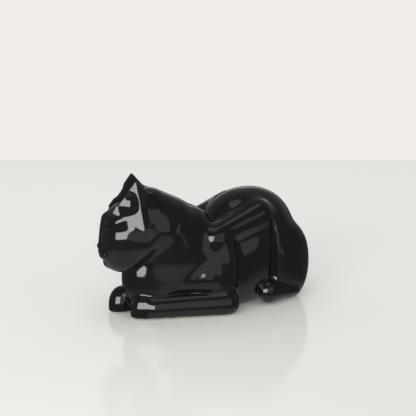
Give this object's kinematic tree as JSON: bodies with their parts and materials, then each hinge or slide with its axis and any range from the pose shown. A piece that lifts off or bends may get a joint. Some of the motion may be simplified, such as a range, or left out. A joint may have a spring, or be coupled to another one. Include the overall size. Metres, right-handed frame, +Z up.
{
  "type": "ceramic cat figurine",
  "caption": "Glazed ceramic figurine of a crouching cat, hollow cast, with its head turned, forelegs laid forward, a rubber stopper in its base and pads to rest on.",
  "frame": {"origin": "bottom centre of the bounding box, on the surface that the cat rests on", "axes": "+Z up, -Y the way the cat's body faces, +X the cat's left side"},
  "size_m": [0.1036, 0.2364, 0.147],
  "materials": {
    "glaze": "gloss black glaze",
    "rubber": "soft matt"
  },
  "bodies": {
    "cat": {"ceramic_body": "glaze", "pad_front_left": "rubber", "pad_front_right": "rubber", "pad_rear_left": "rubber", "pad_rear_right": "rubber"},
    "stopper": {"stopper": "rubber"}
  },
  "joints": [
    {"name": "stopper_pull", "type": "slide", "parent": "cat", "child": "stopper", "axis": [0, 0, -1], "range_m": [0, 0.03]}
  ]
}
